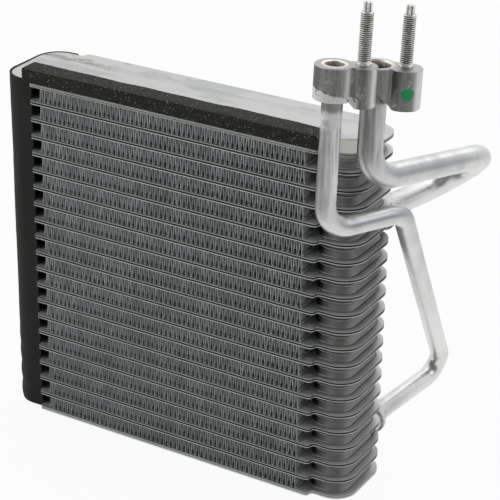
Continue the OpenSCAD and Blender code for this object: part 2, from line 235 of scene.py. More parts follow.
# Brazed sheet of the flat tubes, their tank cups and the bottom end plate
def tubeSheet():
    look = dict(flange=(0.43, 0.445, 0.46), haze=(0.58, 0.59, 0.60), paintedSheen=(0.74, 0.745, 0.75),
                upperEdge=(0.24, 0.245, 0.245), lowerEdge=(0.42, 0.42, 0.41), groove=(0.012, 0.012, 0.012),
                cupLit=(0.26, 0.257, 0.25), cupShaded=(0.075, 0.074, 0.072), creaseShade=(0.035, 0.032, 0.030),
                shadowBlack=(0.02, 0.02, 0.019))
    cup = dict(middle=115.4, halfX=13.7, halfY=24.8, radius=10.6)
    # Start and end of each change in mm, for groove, rim and wall as distances from a tube's middle plane
    span = dict(groove=(0.46, 0.56), rim=(1.15, 1.35), wall=(1.5, 1.9), cupStart=(99.5, 101.5),
                cupShadow=(106.0, 121.0), creaseShadeStart=(113.0, 121.0), base=(2.2, 2.6), edge=(-3.4, -1.0),
                edgeStart=(104.0, 112.0), shoulderSheenSide=(20.0, 27.0), lowRows=(8.0, 110.0),
                lowStart=(99.0, 103.0), leftEnd=(-105.0, -100.5))
    f = Finish("tubeSheet", Metallic=0.55)
    height = f.storeys() % 1.0
    level = (f.storeys() + 0.5) % 1.0 - 0.5
    off = abs(level) * core["pitch"]
    upright = 1 - abs(f.nz).ramp(0.3, 0.7)
    faceUp = f.nz.ramp(0.5, 0.8)
    aboveBase = f.z.ramp(*span["base"])
    wall = off.ramp(*span["wall"]) * f.x.ramp(*span["cupStart"])
    streak = f.grain(1.3, (0.12, 0.12, 1), 4.0)
    blotch = f.grain(9.0, detail=4.0)
    base = f.mix(blotch.ramp(0.45, 0.75) * 0.6, look["flange"], look["haze"])
    # Painted sheen: flanges are lighter along their outer edge, along the shoulder beside the fins and low in
    # the stack
    toEdge = pastRounded(f.x - (core["halfLength"] - core["cornerRadius"]),
                         abs(f.y) - (core["zoneEdge"] - core["cornerRadius"]), core["cornerRadius"])
    paintedSheen = toEdge.ramp(*span["edge"]) * f.x.ramp(*span["edgeStart"]) * faceUp
    shoulderSheen = f.x.near(106.5, 4.0, 4.0) * abs(f.y).ramp(*span["shoulderSheenSide"]) * faceUp
    base = f.mix(paintedSheen.larger(shoulderSheen * 0.8) * (0.35 + 0.6 * blotch), base, look["paintedSheen"])
    # The lowest rows get the same painted sheen, as of light from the floor
    low = (1 - f.z.ramp(*span["lowRows"])) * faceUp * f.x.ramp(*span["lowStart"])
    base = f.mix(low * (0.3 + 0.6 * blotch) * (1 - wall), base, look["paintedSheen"])
    # Painted shade in the crease where the cup rises from its flange
    away = pastRounded(abs(f.x - cup["middle"]) - (cup["halfX"] - cup["radius"]),
                       abs(f.y) - (cup["halfY"] - cup["radius"]), cup["radius"])
    creaseShade = away.near(0.5, 0.5, 0.3) * (1 - upright) * f.x.ramp(*span["creaseShadeStart"])
    base = f.mix(creaseShade * (0.45 + 0.5 * blotch), base, look["creaseShade"])
    # Painted shade: cup walls darken upwards, and towards the fins into a painted shadow
    shade = f.mix((height + (streak - 0.5) * 0.7).ramp(0.22, 0.80), look["cupLit"], look["cupShaded"])
    base = f.mix(wall, base, f.mix(1 - f.x.ramp(*span["cupShadow"]), shade, look["shadowBlack"]))
    # Cut edges of the two plates, the upper one darker than the lower, with painted shade in the open groove
    # between them
    rim = upright * (1 - off.ramp(*span["rim"]))
    edge = f.mix(level.ramp(-0.01, 0.01), look["lowerEdge"], look["upperEdge"])
    base = f.mix(rim * (0.75 + 0.25 * streak), base, edge)
    base = f.mix((1 - off.ramp(*span["groove"])) * aboveBase, base, look["groove"])
    base = f.mix((1 - aboveBase) * (0.4 + 0.4 * blotch), base, look["haze"])
    # Painted shade over the tube ends inside the wrapped end
    leftEndShade = (1 - f.x.ramp(*span["leftEnd"])) * abs(f.y).near(0.0, 26.0, 4.0)
    base = f.mix(leftEndShade * 0.9, base, look["shadowBlack"])
    f.paint(Base_Color=base, Roughness=0.36 + 0.2 * blotch - 0.06 * rim)
    f.relief(f.grain(0.7, detail=2.0), 0.05, 0.5)
    return f.material


# Thin foil of the fins, whiter with braze at both feet, with painted shade deep inside and in the gaps at
# their feet near the faces
def finFoil():
    look = dict(foil=(0.95, 0.99, 1.0), dull=(0.62, 0.645, 0.65), braze=(1.0, 1.0, 0.99),
                deep=(0.17, 0.18, 0.185), footGapShade=(0.02, 0.021, 0.022))
    # Start and end of each change, in mm, and for foot and the top of the painted shade at the feet as a
    # share of the pitch
    span = dict(end=(98.6, 99.6), deep=(29.6, 33.1), footGapShade=(31.2, 33.0),
                foot=(0.325, 0.36), footGapShadeTop=(0.22, 0.38))
    f = Finish("finFoil", Metallic=0.5)
    level = f.storeys() % 1.0
    patch = f.grain(14.0, (1, 1, 1), 4.0)
    lines = f.grain(0.9, (1, 0.2, 0.02), 3.0, 0.6)
    foot = abs(level - 0.5).ramp(*span["foot"])
    within = 1 - abs(f.x).ramp(*span["end"])
    deep = (1 - abs(f.y).ramp(*span["deep"])) * within
    footGapShade = (1 - abs(f.y).ramp(*span["footGapShade"])) * (1 - level.ramp(*span["footGapShadeTop"])) * within
    base = f.mix((patch * 0.14 + lines * 0.86).ramp(0.34, 0.64), look["dull"], look["foil"])
    # Painted shade deep inside the fin block, and near black in the gaps at the feet near the faces
    base = f.mix(deep * 0.9, base, look["deep"])
    base = f.mix(footGapShade * 0.95, base, look["footGapShade"])
    base = f.mix(foot * lines.ramp(0.25, 0.50) * (1 - deep * 0.55), base, look["braze"])
    f.paint(Base_Color=base, Roughness=0.38 + 0.25 * patch)
    return f.material


# Bright top sheet with smears, an adhesive patch and a brown line by the tank end
def endSheet():
    look = dict(sheet=(0.60, 0.605, 0.60), cloud=(0.46, 0.475, 0.49), smear=(0.36, 0.35, 0.32),
                glue=(0.33, 0.312, 0.275), line=(0.22, 0.155, 0.10), arc=(0.24, 0.215, 0.18),
                rim=(0.32, 0.32, 0.31))
    # Places of the marks in mm, and how steeply the line of the glue runs
    mark = dict(rear=(6.0, 26.0), arcY=20.0, arcWander=26.0, arcWidth=2.6, arcStrong=(-98.0, -66.0),
                glueStart=(100.0, 104.0), glueY=-76.5, glueSlope=0.6)
    f = Finish("endSheet", Metallic=0.25)
    cloud = f.grain(26.0, (0.6, 1.3, 1), 5.0, 0.6)
    fleck = f.grain(2.2, detail=4.0, rough=0.7)
    dirt = f.grain(11.0, (0.45, 1.4, 1), 5.0, 0.65, shift=0.3)
    base = f.mix(cloud.ramp(0.46, 0.62) * 0.7, look["sheet"], look["cloud"])
    base = f.mix(dirt.ramp(0.58, 0.70) * f.y.ramp(*mark["rear"]) * 0.7, base, look["smear"])
    base = f.mix(fleck.ramp(0.70, 0.74) * 0.6, base, look["smear"])
    # A brown arc of dirt near the rear edge, strongest by the wrapped end
    arc = f.y - mark["arcY"] - (dirt - 0.5) * mark["arcWander"] - (fleck - 0.5) * 3.0
    strong = 0.22 + 0.75 * (1 - f.x.ramp(*mark["arcStrong"]))
    onTop = fleck.ramp(0.25, 0.6) * f.nz.above(0.5)
    base = f.mix(arc.near(0.0, mark["arcWidth"], 2.4) * strong * onTop, base, look["arc"])
    # Glue in front of a brown line that runs slantwise over the tank end
    edge = f.y - f.x * mark["glueSlope"] - mark["glueY"] + (fleck - 0.5) * 1.6
    beyond = f.x.ramp(*mark["glueStart"])
    base = f.mix((1 - edge.ramp(-0.3, 0.3)) * beyond * 0.85, base, look["glue"])
    base = f.mix(edge.near(0.4, 0.8, 0.4) * beyond * fleck.ramp(0.30, 0.50), base, look["line"])
    base = f.mix((1 - abs(f.nz).ramp(0.3, 0.7)) * 0.9, base, look["rim"])
    f.paint(Base_Color=base, Roughness=0.40 + 0.25 * cloud)
    f.relief(f.grain(6.0, detail=3.0), 0.12, 0.6)
    return f.material


# Where each pipe's flux ring sits below its block and how far it goes round, and how far its dark band of
# stain and painted reflection does
pipeMarks = dict(inlet=dict(ringAt=13.0, ringHalf=4.5, ringRound=0.9, stainRound=0.05),
                 outlet=dict(ringAt=1.5, ringHalf=1.8, ringRound=0.1, stainRound=0.45))


# Drawn pipe: satin, stained below its block, with white flux there and at its joint, and with painted
# reflections
def pipeMetal(side):
    look = dict(metal=(0.66, 0.66, 0.65), band=(0.365, 0.37, 0.38), paleMetal=(0.83, 0.83, 0.815),
                blue=(0.33, 0.35, 0.38), stainAndReflectionTone=(0.162, 0.162, 0.155), heat=(0.17, 0.17, 0.16),
                flux=(0.84, 0.84, 0.83), bluishReflection=(0.40, 0.42, 0.47), fleck=(0.16, 0.15, 0.14))
    # Start and end of each change in mm: foot above the leg's foot, heat below the block, the rest along Y
    span = dict(foot=(4.0, 20.0), heat=(5.5, 9.0), behind=(20.0, 95.0), jointStart=(20.0, 21.0),
                jointEnd=(38.0, 52.0))
    leg = legs[side]
    mark = pipeMarks[side]
    f = Finish(side + "PipeMetal", Metallic=0.85)
    rag = f.grain(5.0, detail=5.0, rough=0.65)
    fine = f.grain(0.8, detail=3.0)
    bloom = f.grain(17.0, (1, 1, 0.5), 4.0)
    drawn = f.grain(2.2, (1, 1, 0.05), 4.0, 0.6)
    rise, across = f.fromLeg(leg)
    down = -rise - leg["under"]
    reach = leg["length"] - leg["under"]
    onLeg = 1 - down.ramp(reach - span["foot"][1], reach - span["foot"][0])
    onLeg = onLeg * f.y.near(leg["foot"][1], 14.0, 3.0)
    bands = bloom.ramp(0.38, 0.66) * 0.45 + drawn.ramp(0.44, 0.60) * 0.55 * onLeg
    base = f.mix(bands, look["metal"], look["band"])
    # Painted reflections: the level runs get a bluish band of the dim room on their crown and a paler
    # underside, as of the floor. The pipe is also paler towards the rear
    crownReflection = f.nz.near(0.42, 0.30, 0.22) * (1 - onLeg)
    base = f.mix(crownReflection * (0.55 + 0.45 * bloom), base, look["blue"])
    base = f.mix((1 - f.nz.ramp(-0.75, -0.05)) * 0.6, base, look["paleMetal"])
    # A dark band on each leg's side towards the camera, partly stain and partly a painted reflection of the
    # dim room
    stained = mark["stainRound"]
    stainAndReflection = (f.nx * 0.8 - f.ny * 0.6).ramp(-0.85, -0.15) * (1 - f.nx.ramp(stained, stained + 0.5)) * onLeg
    base = f.mix(stainAndReflection * (0.35 + 0.65 * drawn + 0.3 * stained) * (0.76 + 0.44 * stained), base, look["stainAndReflectionTone"])
    base = f.mix(f.y.ramp(*span["behind"]) * 0.75, base, look["paleMetal"])
    # Heat tint under the block, then the flux of its ring and of the joint at the tank, with a painted bluish
    # reflection band across the front of the ring
    heat = (1 - (down + (rag - 0.5) * 5.0).ramp(*span["heat"])) * onLeg
    ring = (down + (rag - 0.5) * 7.0).near(mark["ringAt"], mark["ringHalf"], 2.2) * onLeg
    ring = ring * (1 - f.nx.ramp(mark["ringRound"], mark["ringRound"] + 0.3))
    bluishReflection = (down + (rag - 0.5) * 9.0).near(mark["ringAt"] + 1.5, mark["ringHalf"] * 0.5, 1.2) * onLeg
    bluishReflection = bluishReflection * (f.nx + (rag - 0.5) * 0.8).near(-0.1, 0.4, 0.2)
    joint = (1 - f.y.ramp(*span["jointEnd"])) * f.y.ramp(*span["jointStart"])
    joint = joint * f.z.near(leg["joint"], 14.0, 4.0)
    white = (ring * 0.9 + joint * rag.ramp(0.38, 0.6)).smaller(1.0)
    base = f.mix(heat * 0.8, base, look["heat"])
    base = f.mix(white, base, look["flux"])
    base = f.mix(bluishReflection * ring * 0.7, base, look["bluishReflection"])
    base = f.mix(fine.ramp(0.69, 0.74) * 0.6, base, look["fleck"])
    f.paint(Base_Color=base, Roughness=(0.27 + 0.14 * bloom + 0.35 * white + 0.12 * heat).smaller(1.0),
            Metallic=0.85 - 0.75 * white)
    f.relief(fine * 0.6 + rag * 0.4, 0.05, 0.4)
    return f.material


# What differs between the blocks: radius and chamfer of the port in mm, flux at the foot and a paint dot
blockMarks = dict(inlet=dict(port=5.8, lip=2.3, fluxed=True, dot=None),
                  outlet=dict(port=9.0, lip=1.9, fluxed=False, dot=(164.3, -30.1, 292.9)))


# Block cut from an extruded bar: upright drawing lines, bright machined top, bore and flux at its foot, with
# a painted highlight on its right-hand side and painted shade and a glint in its bore
def blockMetal(side):
    look = dict(side=(0.115, 0.115, 0.11), line=(0.24, 0.24, 0.23), face=(0.46, 0.455, 0.44),
                bright=(0.88, 0.87, 0.84), bore=(0.95, 0.86, 0.72), depth=(0.22, 0.195, 0.165),
                glint=(1.0, 0.98, 0.95), flux=(0.84, 0.84, 0.83), crumb=(0.05, 0.047, 0.042),
                paint=(0.01, 0.33, 0.12))
    # Start and end of each change in mm, the heights measured from the top of the leg
    span = dict(boreShade=(-5.0, -1.0), glint=(-5.0, -1.5), lobe=(14.5, 17.0), flux=(-15.4, -14.6),
                crumb=(-19.5, -16.0), dot=(3.75, 3.95))
    top, port, lip = legs[side]["top"], blockMarks[side]["port"], blockMarks[side]["lip"]
    f = Finish(side + "BlockMetal", Metallic=0.9)
    rise, across = f.fromLeg(legs[side])
    lines = f.grain(0.9, (1, 1, 0.03), 4.0, 0.6)
    bands = f.grain(5.0, (1, 1, 0.015), 2.0)
    spots = f.grain(2.6, detail=5.0, rough=0.7, shift=0.2)
    rag = f.grain(2.2, detail=5.0, rough=0.7)
    scuff = f.grain(7.0, (1, 1, 0.7), 3.0, shift=0.6).ramp(0.50, 0.62)
    base = f.mix((lines * 0.4 + bands * 0.6).ramp(0.36, 0.64), look["side"], look["line"])
    base = f.mix(spots.ramp(0.46, 0.62) * (0.06 + 0.5 * scuff), base, look["face"])
    # Painted highlight: the right-hand side is paler, brightest at its edge
    base = f.mix(f.nx.ramp(0.50, 0.95) * 0.35, base, look["face"])
    base = f.mix(f.nx.ramp(0.82, 1.0) * 0.6, base, look["bright"])
    faceUp = f.nz.ramp(0.45, 0.65)
    base = f.mix(faceUp * (0.75 + 0.25 * spots), base, look["face"])
    # Distance from the leg's axis gives the chamfer and the bore
    radius = ((f.x - top[0]) ** 2.0 + across ** 2.0) ** 0.5
    cone = (1 - radius.ramp(port + lip - 0.25, port + lip)) * faceUp
    base = f.mix(cone * 0.8, base, look["bright"])
    # The bore is painted darker with depth, as shade, and gets a painted glint on its rear wall
    inBore = (1 - radius.ramp(port + 0.05, port + 0.3)) * rise.near(-4.0, 4.4, 0.3)
    glint = inBore * (f.x - top[0]).near(0.6, 1.1, 0.9) * rise.ramp(*span["glint"])
    boreWall = f.mix(rise.ramp(*span["boreShade"]), look["depth"], look["bore"])
    base = f.mix(glint, f.mix(inBore * 0.95, base, boreWall), look["glint"])
    rough = 0.34 + 0.14 * lines + 0.1 * spots - 0.2 * inBore
    metal = 0.9 - 0.5 * inBore
    if blockMarks[side]["fluxed"]:
        # The flux climbs the foot under the port, higher on the side away from the stud
        lobe = 1 - radius.ramp(*span["lobe"])
        edge = rise + (rag - 0.5) * 5.0 + (f.x - top[0]) * 0.22
        flux = (1 - edge.ramp(*span["flux"])) * lobe
        loose = rag.ramp(0.50, 0.56) * f.grain(1.3, shift=0.7).ramp(0.48, 0.54)
        base = f.mix(flux * 0.95, base, look["flux"])
        base = f.mix(flux * edge.ramp(*span["crumb"]) * loose, base, look["crumb"])
        rough = rough + 0.35 * flux
        metal = metal - 0.75 * flux
    if blockMarks[side]["dot"]:
        away = f.away(blockMarks[side]["dot"])
        spot = 1 - (away + (rag - 0.5) * 6.0).ramp(*span["dot"])
        base = f.mix(spot, base, look["paint"])
        rough = rough + 0.1 * spot
        metal = metal - 0.75 * spot
    f.paint(Base_Color=base, Roughness=rough, Metallic=metal.larger(0.0))
    slope = (1 - radius / (port + lip)).larger(0.0) * faceUp
    f.relief(lines * 0.7 + spots * 0.3 - slope * 55.0, 0.06, 0.7)
    return f.material


def collarMetal():
    look = dict(metal=(0.60, 0.60, 0.60), flux=(0.84, 0.84, 0.83), dark=(0.30, 0.29, 0.28))
    f = Finish("collarMetal", Metallic=0.7)
    rag = f.grain(2.6, detail=5.0, rough=0.65)
    base = f.mix(rag.ramp(0.46, 0.60) * 0.8, look["metal"], look["flux"])
    base = f.mix(f.grain(0.7).ramp(0.66, 0.72) * 0.5, base, look["dark"])
    f.paint(Base_Color=base, Roughness=0.42 + 0.3 * rag)
    f.relief(rag, 0.12, 0.6)
    return f.material


# Uneven flux on the beads, between a dark and a light tone
def fluxBead(name, dark, light, contrast):
    f = Finish(name, Metallic=0.15)
    rag = f.grain(1.8, detail=4.0)
    f.paint(Base_Color=f.mix(rag.ramp(*contrast), dark, light), Roughness=0.5 + 0.3 * rag)
    f.relief(rag, 0.1, 0.6)
    return f.material


def platedSteel():
    look = dict(zinc=(0.76, 0.76, 0.735), yellow=(0.50, 0.48, 0.42), dark=(0.10, 0.10, 0.095),
                groove=(0.03, 0.03, 0.028))
    f = Finish("platedSteel", Metallic=0.9)
    cloud = f.grain(3.5, detail=4.0)
    fine = f.grain(0.5, detail=2.0)
    # The stud's tree stores how deep each point lies in the thread
    depth = f.add("ShaderNodeAttribute", out="Fac", attribute_name="groove")
    base = f.mix(cloud.ramp(0.45, 0.65) * 0.7, look["zinc"], look["yellow"])
    base = f.mix(fine.ramp(0.62, 0.70) * 0.5, base, look["dark"])
    # Painted shade darkens the thread's grooves and the hollows of the tip's lobes
    base = f.mix(depth.ramp(0.2, 0.85) * 0.86, base, look["groove"])
    f.paint(Base_Color=base, Roughness=0.26 + 0.2 * cloud + 0.2 * depth)
    f.relief(fine, 0.02, 0.5)
    return f.material


# Open-cell foam: dark charcoal with cells and light dust
def openFoam():
    look = dict(deep=(0.004, 0.004, 0.0035), body=(0.034, 0.033, 0.029), paleTop=(0.050, 0.049, 0.043),
                dust=(0.50, 0.49, 0.45))
    f = Finish("openFoam", Specular_IOR_Level=0.25)

    def spots(size):
        # Distance from the middle of cells about size mm across
        return f.add("ShaderNodeTexVoronoi", {"Vector": f.place, "Scale": 1000.0 / size}, out="Distance",
                     feature="F1")

    cells = spots(0.8)
    soft = f.grain(1.1, detail=4.0, rough=0.7)
    broad = f.grain(22.0, detail=3.0)
    gate = f.grain(6.0, detail=3.0, shift=0.4)
    base = f.mix((soft * 0.7 + cells * 0.5).ramp(0.38, 0.72), look["deep"], look["body"])
    # Upward faces are a little paler
    base = f.mix(f.nz.ramp(0.5, 0.9) * (0.55 + 0.45 * broad) * soft.ramp(0.3, 0.6), base, look["paleTop"])
    large = (1 - spots(2.0).ramp(0.11, 0.17)) * gate.ramp(0.36, 0.50)
    small = (1 - spots(1.2).ramp(0.08, 0.15)) * 0.6
    base = f.mix(large.larger(small) * 0.9, base, look["dust"])
    f.paint(Base_Color=base, Roughness=0.86 + 0.1 * soft)
    f.relief(cells * 0.8 + soft * 0.5, 0.4, 0.9)
    return f.material


def wrapFoam():
    look = dict(body=(0.013, 0.013, 0.012), pale=(0.024, 0.024, 0.022))
    f = Finish("wrapFoam", Specular_IOR_Level=0.2)
    broad = f.grain(38.0, (1, 1, 0.5), 4.0)
    fine = f.grain(0.9, detail=3.0)
    base = f.mix((broad * 0.6 + fine * 0.4).ramp(0.38, 0.66), look["body"], look["pale"])
    f.paint(Base_Color=base, Roughness=0.62 + 0.2 * broad)
    f.relief(fine * 0.5 + broad * 0.5, 0.18, 0.5)
    return f.material


# Finishes by node, or else by slot, and those of the beads
tubes = tubeSheet()
finishes = dict(
    tube_aluminium=tubes, fin_aluminium=finFoil(), top_end_plate=endSheet(), bottom_end_plate=tubes,
    collar_aluminium=collarMetal(), stud_steel=platedSteel(), foam=openFoam(), wrap_foam=wrapFoam(),
    inlet_pipe=pipeMetal("inlet"), outlet_pipe=pipeMetal("outlet"),
    inlet_block=blockMetal("inlet"), outlet_block=blockMetal("outlet"),
    fillet=fluxBead("fluxBead", (0.46, 0.46, 0.45), (0.78, 0.78, 0.77), (0.4, 0.65)),
    cupJoint=fluxBead("jointBead", (0.26, 0.26, 0.25), (0.40, 0.40, 0.39), (0.3, 0.7)))
for part in frame["record"]["subparts"]:
    chosen = finishes.get(part["node"]) or finishes[part["material_slot"]]
    for place in nodes[part["node"]].material_slots:
        place.material = chosen
print("finishes", len(finishes))


class Build(Net):
    # A Geometry Nodes tree with one input for each value that it is given, and one for its material
    def __init__(self, name, values, takesGeometry=False):
        tree = bpy.data.node_groups.new(name, "GeometryNodeTree")
        super().__init__(tree)
        self.values = values
        self.ids = {}
        face = tree.interface
        if takesGeometry:
            face.new_socket(name="Geometry", in_out="INPUT", socket_type="NodeSocketGeometry")
        kinds = {label: "NodeSocketInt" if isinstance(value, int) else "NodeSocketFloat"
                 for label, value in values.items()}
        for label, kind in {**kinds, "Material": "NodeSocketMaterial"}.items():
            self.ids[label] = face.new_socket(name=label, in_out="INPUT", socket_type=kind).identifier
        face.new_socket(name="Geometry", in_out="OUTPUT", socket_type="NodeSocketGeometry")
        self.source = self.add("NodeGroupInput")

    def value(self, label):
        return self.source.of(label)

    def close(self, geometry):
        made = self.add("GeometryNodeRealizeInstances", {"Geometry": geometry})
        made = self.add("GeometryNodeSetMaterial", {"Geometry": made, "Material": self.value("Material")})
        self.add("NodeGroupOutput", {"Geometry": made})

    def make(self, name, material, base=None, **changes):
        # Runs the tree and leaves a plain mesh object
        start = base or bpy.data.meshes.new(name + "Start")
        carrier = bpy.data.objects.new(name + "Carrier", start)
        bpy.context.scene.collection.objects.link(carrier)
        modifier = carrier.modifiers.new("build", "NODES")
        modifier.node_group = self.tree
        for label, value in {**self.values, **changes, "Material": material}.items():
            modifier[self.ids[label]] = value
        ready = carrier.evaluated_get(bpy.context.evaluated_depsgraph_get())
        mesh = bpy.data.meshes.new_from_object(ready)
        mesh.name = name
        bpy.data.objects.remove(carrier)
        return addPiece(name, mesh, None if mesh.materials else material)


def addPiece(name, mesh, material=None):
    piece = bpy.data.objects.new(name, mesh)
    bpy.context.scene.collection.objects.link(piece)
    if material:
        mesh.materials.append(material)
    return piece


def meshFrom(name, points, edges, faces):
    mesh = bpy.data.meshes.new(name)
    mesh.from_pydata([tuple(c * mm for c in p) for p in points], edges, faces)
    return mesh


def smooth(piece, degrees):
    piece.data.shade_smooth()
    piece.data.set_sharp_from_angle(angle=math.radians(degrees))


# Corrugated fins at their true pitch, with louvres near the front and rear faces. In mm and degrees
fins = dict(length=202.0, height=9.2, depth=66.4, halfFold=1.79, wallRun=0.60, corner=0.24, cornerSteep=1.8,
            foil=0.12, bend=0.03, louvres=4, louvreWidth=1.2, louvreStep=1.45, louvreHeight=7.0,
            louvreTwist=27.0, louvreInset=3.2, louvreFoil=0.9)


def finTree():
    b = Build("corrugatedFin", dict(fins, folds=0, level=0.0, seed=0))
    v = b.value
    # A grid with four columns for each wall of the foil, and rows at both faces and a little inside them
    columns, rows, inset = 4.0, 4, 0.04
    count = b.math("MULTIPLY_ADD", v("folds"), columns, 1.0)
    grid = b.add("GeometryNodeMeshGrid", {"Vertices X": count, "Vertices Y": rows})
    index = b.add("GeometryNodeInputIndex")
    column = (index / float(rows)).math("FLOOR")
    row = index - column * float(rows)
    fold = (column / columns).math("FLOOR")
    step = column - fold * columns
    # Each wall slants across wallRun, then rounds over two corners to the next one
    up = 1 - 2 * (fold % 2.0)
    level = v("height") / 2.0 - v("foil") / 2.0
    straight = level - v("corner") * v("cornerSteep")
    across = fold * v("halfFold") + v("wallRun") * step.above(0.5) + v("corner") * step.above(1.5) \
        + (v("halfFold") - v("wallRun") - v("corner") * 2.0) * step.above(2.5)
    rise = (straight * -1.0 + straight * 2.0 * step.above(0.5) + (level - straight) * step.above(1.5)) * up
    # Walls stray a little from their place, most at the two faces, and not at their feet
    shake = b.add("FunctionNodeRandomValue", {"Min": -1.0, "Max": 1.0, "ID": fold.math("ROUND"),
                                              "Seed": v("seed")}, data_type="FLOAT")
    wave = b.add("ShaderNodeTexNoise", {"W": fold * 0.21 + v("seed") * 7.3, "Scale": 1.0},
                 noise_dimensions="1D")
    outer = 1 - row.above(0.5) + row.above(2.5)
    sway = v("bend") * (shake * (0.35 + 0.65 * outer) + (wave - 0.5) * 2.5) * (1 - abs(rise / level) ** 3.0)
    deep = row.above(0.5) * inset + row.above(1.5) * (1 - 2 * inset) + row.above(2.5) * inset - 0.5
    where = b.vector(X=(across - v("length") / 2.0 + sway) * mm, Y=v("depth") * deep * mm,
                     Z=(rise + v("level")) * mm)
    sheet = b.add("GeometryNodeSetPosition", {"Geometry": grid, "Position": where})
    grown = b.add("GeometryNodeExtrudeMesh", {"Mesh": sheet, "Offset Scale": v("foil") * mm,
                                              "Individual": False}, mode="FACES")
    back = b.add("GeometryNodeFlipFaces", {"Mesh": sheet})
    skin = b.add("GeometryNodeJoinGeometry", {"Geometry": [grown, back]})
    skin = b.add("GeometryNodeMergeByDistance", {"Geometry": skin, "Distance": 1e-6})
    # Louvres stand on the middle of each wall, a little thinner than its foil
    slots = v("louvres") * 2.0
    stands = b.add("GeometryNodeMeshGrid", {"Vertices X": v("folds"), "Vertices Y": slots})
    wallNo = (index / slots).math("FLOOR")
    place = index - wallNo * slots
    far = place.above(v("louvres") - 0.5)
    inside = v("louvreInset") + (place - far * v("louvres")) * v("louvreStep")
    middle = wallNo * v("halfFold") + v("wallRun") / 2.0 - v("length") / 2.0 + v("foil") / 2.0
    deepAt = (v("depth") / -2.0 + inside) * (1 - 2 * far)
    slatAt = b.vector(X=middle * mm, Y=deepAt * mm, Z=v("level") * mm)
    stands = b.add("GeometryNodeSetPosition", {"Geometry": stands, "Position": slatAt})
    size = b.vector(X=v("foil") * v("louvreFoil") * mm, Y=v("louvreWidth") * mm, Z=v("louvreHeight") * mm)
    slat = b.add("GeometryNodeMeshCube", {"Size": size})
    tilt = (v("wallRun") / (v("height") - 1.0)).math("ARCTANGENT") * (1 - 2 * (wallNo % 2.0))
    turn = b.vector(Y=tilt, Z=v("louvreTwist") * (math.pi / 180.0) * (1 - 2 * far))
    slats = b.add("GeometryNodeInstanceOnPoints", {"Points": stands, "Instance": slat, "Rotation": turn})
    b.close(b.add("GeometryNodeJoinGeometry", {"Geometry": [skin, slats]}))
    return b


tree = finTree()
folds = 2 * round(fins["length"] / fins["halfFold"] / 2)
for k in range(1, core["gaps"] + 1):
    node = "fin_%02d" % k
    level = core["cover"] + core["pitch"] * (core["gaps"] - k) + core["pitch"] / 2
    piece = tree.make("louvred_" + node, finishes["fin_aluminium"], length=folds * fins["halfFold"],
                      folds=folds, level=level, seed=k)
    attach(piece, "root")
    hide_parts(node)
print("fins", len(piece.data.polygons), "faces each")

# Threaded studs with a collar and a lobed tip. In mm, with the counts last
stud = dict(diameter=8.0, pitch=1.25, threadDepth=0.62, threadStart=2.2, threadEnd=31.6, collar=9.2,
            collarHeight=1.8, collarChamfer=0.25, shank=31.9, shankChamfer=0.6, length=37.4, tip=5.4,
            tipChamfer=0.55, lobeDepth=0.42, bury=0.3, lobes=6, sides=24, rings=264)


def studTree():
    b = Build("threadedStud", dict(stud))
    v = b.value
    # A grid rolled up round the axis, closed at its first and last ring
    across = v("sides") + 1.0
    grid = b.add("GeometryNodeMeshGrid", {"Vertices X": v("rings"), "Vertices Y": across})
    index = b.add("GeometryNodeInputIndex")
    ring = (index / across).math("FLOOR")
    spoke = index - ring * across
    angle = spoke / v("sides") * (2 * math.pi)
    last = v("rings") - 1.0
    height = (ring / last) * (v("length") + v("bury")) - v("bury")
    phase = (height / v("pitch") - spoke / v("sides")) % 1.0
    flank = (abs(phase - 0.5) * 2.0).ramp(0.12, 0.88)
    fade = height.ramp(v("threadStart"), v("threadStart") + 1.2) \
        * (1 - height.ramp(v("threadEnd") - 1.0, v("threadEnd")))
    half = v("diameter") / 2.0
    thread = half - v("threadDepth") * (flank * fade + (1 - fade) * 0.25)
    # Each part ends in a small chamfer
    thread = thread.smaller(half - v("shankChamfer") + (v("shank") - height))
    wide = v("collar") / 2.0
    foot = wide.smaller(wide - v("collarChamfer") + (v("collarHeight") - height))
    wave = ((angle * v("lobes")).math("COSINE") * 0.5 + 0.5) ** 1.5
    narrow = v("tip") / 2.0
    tip = (narrow - v("lobeDepth") * wave).smaller(narrow - v("tipChamfer") + (v("length") - height))
    inShank = height.above(v("collarHeight"))
    inTip = height.above(v("shank"))
    radius = (foot * (1 - inShank) + thread * inShank * (1 - inTip) + tip * inTip) \
        * ring.above(0.5) * (1 - ring.above(last - 0.5))
    where = b.vector(X=radius * angle.math("COSINE") * mm, Y=radius * angle.math("SINE") * mm, Z=height * mm)
    shell = b.add("GeometryNodeSetPosition", {"Geometry": grid, "Position": where})
    hollow = flank * fade * inShank * (1 - inTip) + inTip * wave * 0.85
    shell = b.add("GeometryNodeStoreNamedAttribute", {"Geometry": shell, "Name": "groove", "Value": hollow},
                  data_type="FLOAT", domain="POINT")
    b.close(b.add("GeometryNodeMergeByDistance", {"Geometry": shell, "Distance": 2e-6}))
    return b


tree = studTree()
for side in ("inlet", "outlet"):
    piece = tree.make("threaded_" + side + "_stud", finishes["stud_steel"])
    piece.data.transform(legFrame(legs[side]) @ Matrix.Translation((legs[side]["span"] * mm, 0, 0)))
    smooth(piece, 50)
    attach(piece, "root")
    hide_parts(side + "_stud")
print("studs", len(piece.data.polygons), "faces each")

# Thin beads where neighbouring tank cups meet, half-way between the tubes. In mm
beads = dict(x0=103.3, x1=127.5, half=23.2, radius=9.0, thickness=0.5, cornerSteps=7)


def cupLoop():
    # Closed path of a rectangle with rounded corners, counter-clockwise
    x0, x1, half, radius, steps = (beads[k] for k in ("x0", "x1", "half", "radius", "cornerSteps"))
    path = []
    for cx, cy, start in ((x1 - radius, -half + radius, -90), (x1 - radius, half - radius, 0),
                          (x0 + radius, half - radius, 90), (x0 + radius, -half + radius, 180)):
        for n in range(steps + 1):
            a = math.radians(start + 90.0 * n / steps)
            path.append((cx + radius * math.cos(a), cy + radius * math.sin(a), 0.0))
    return meshFrom("cupLoop", path, [(n, (n + 1) % len(path)) for n in range(len(path))], [])


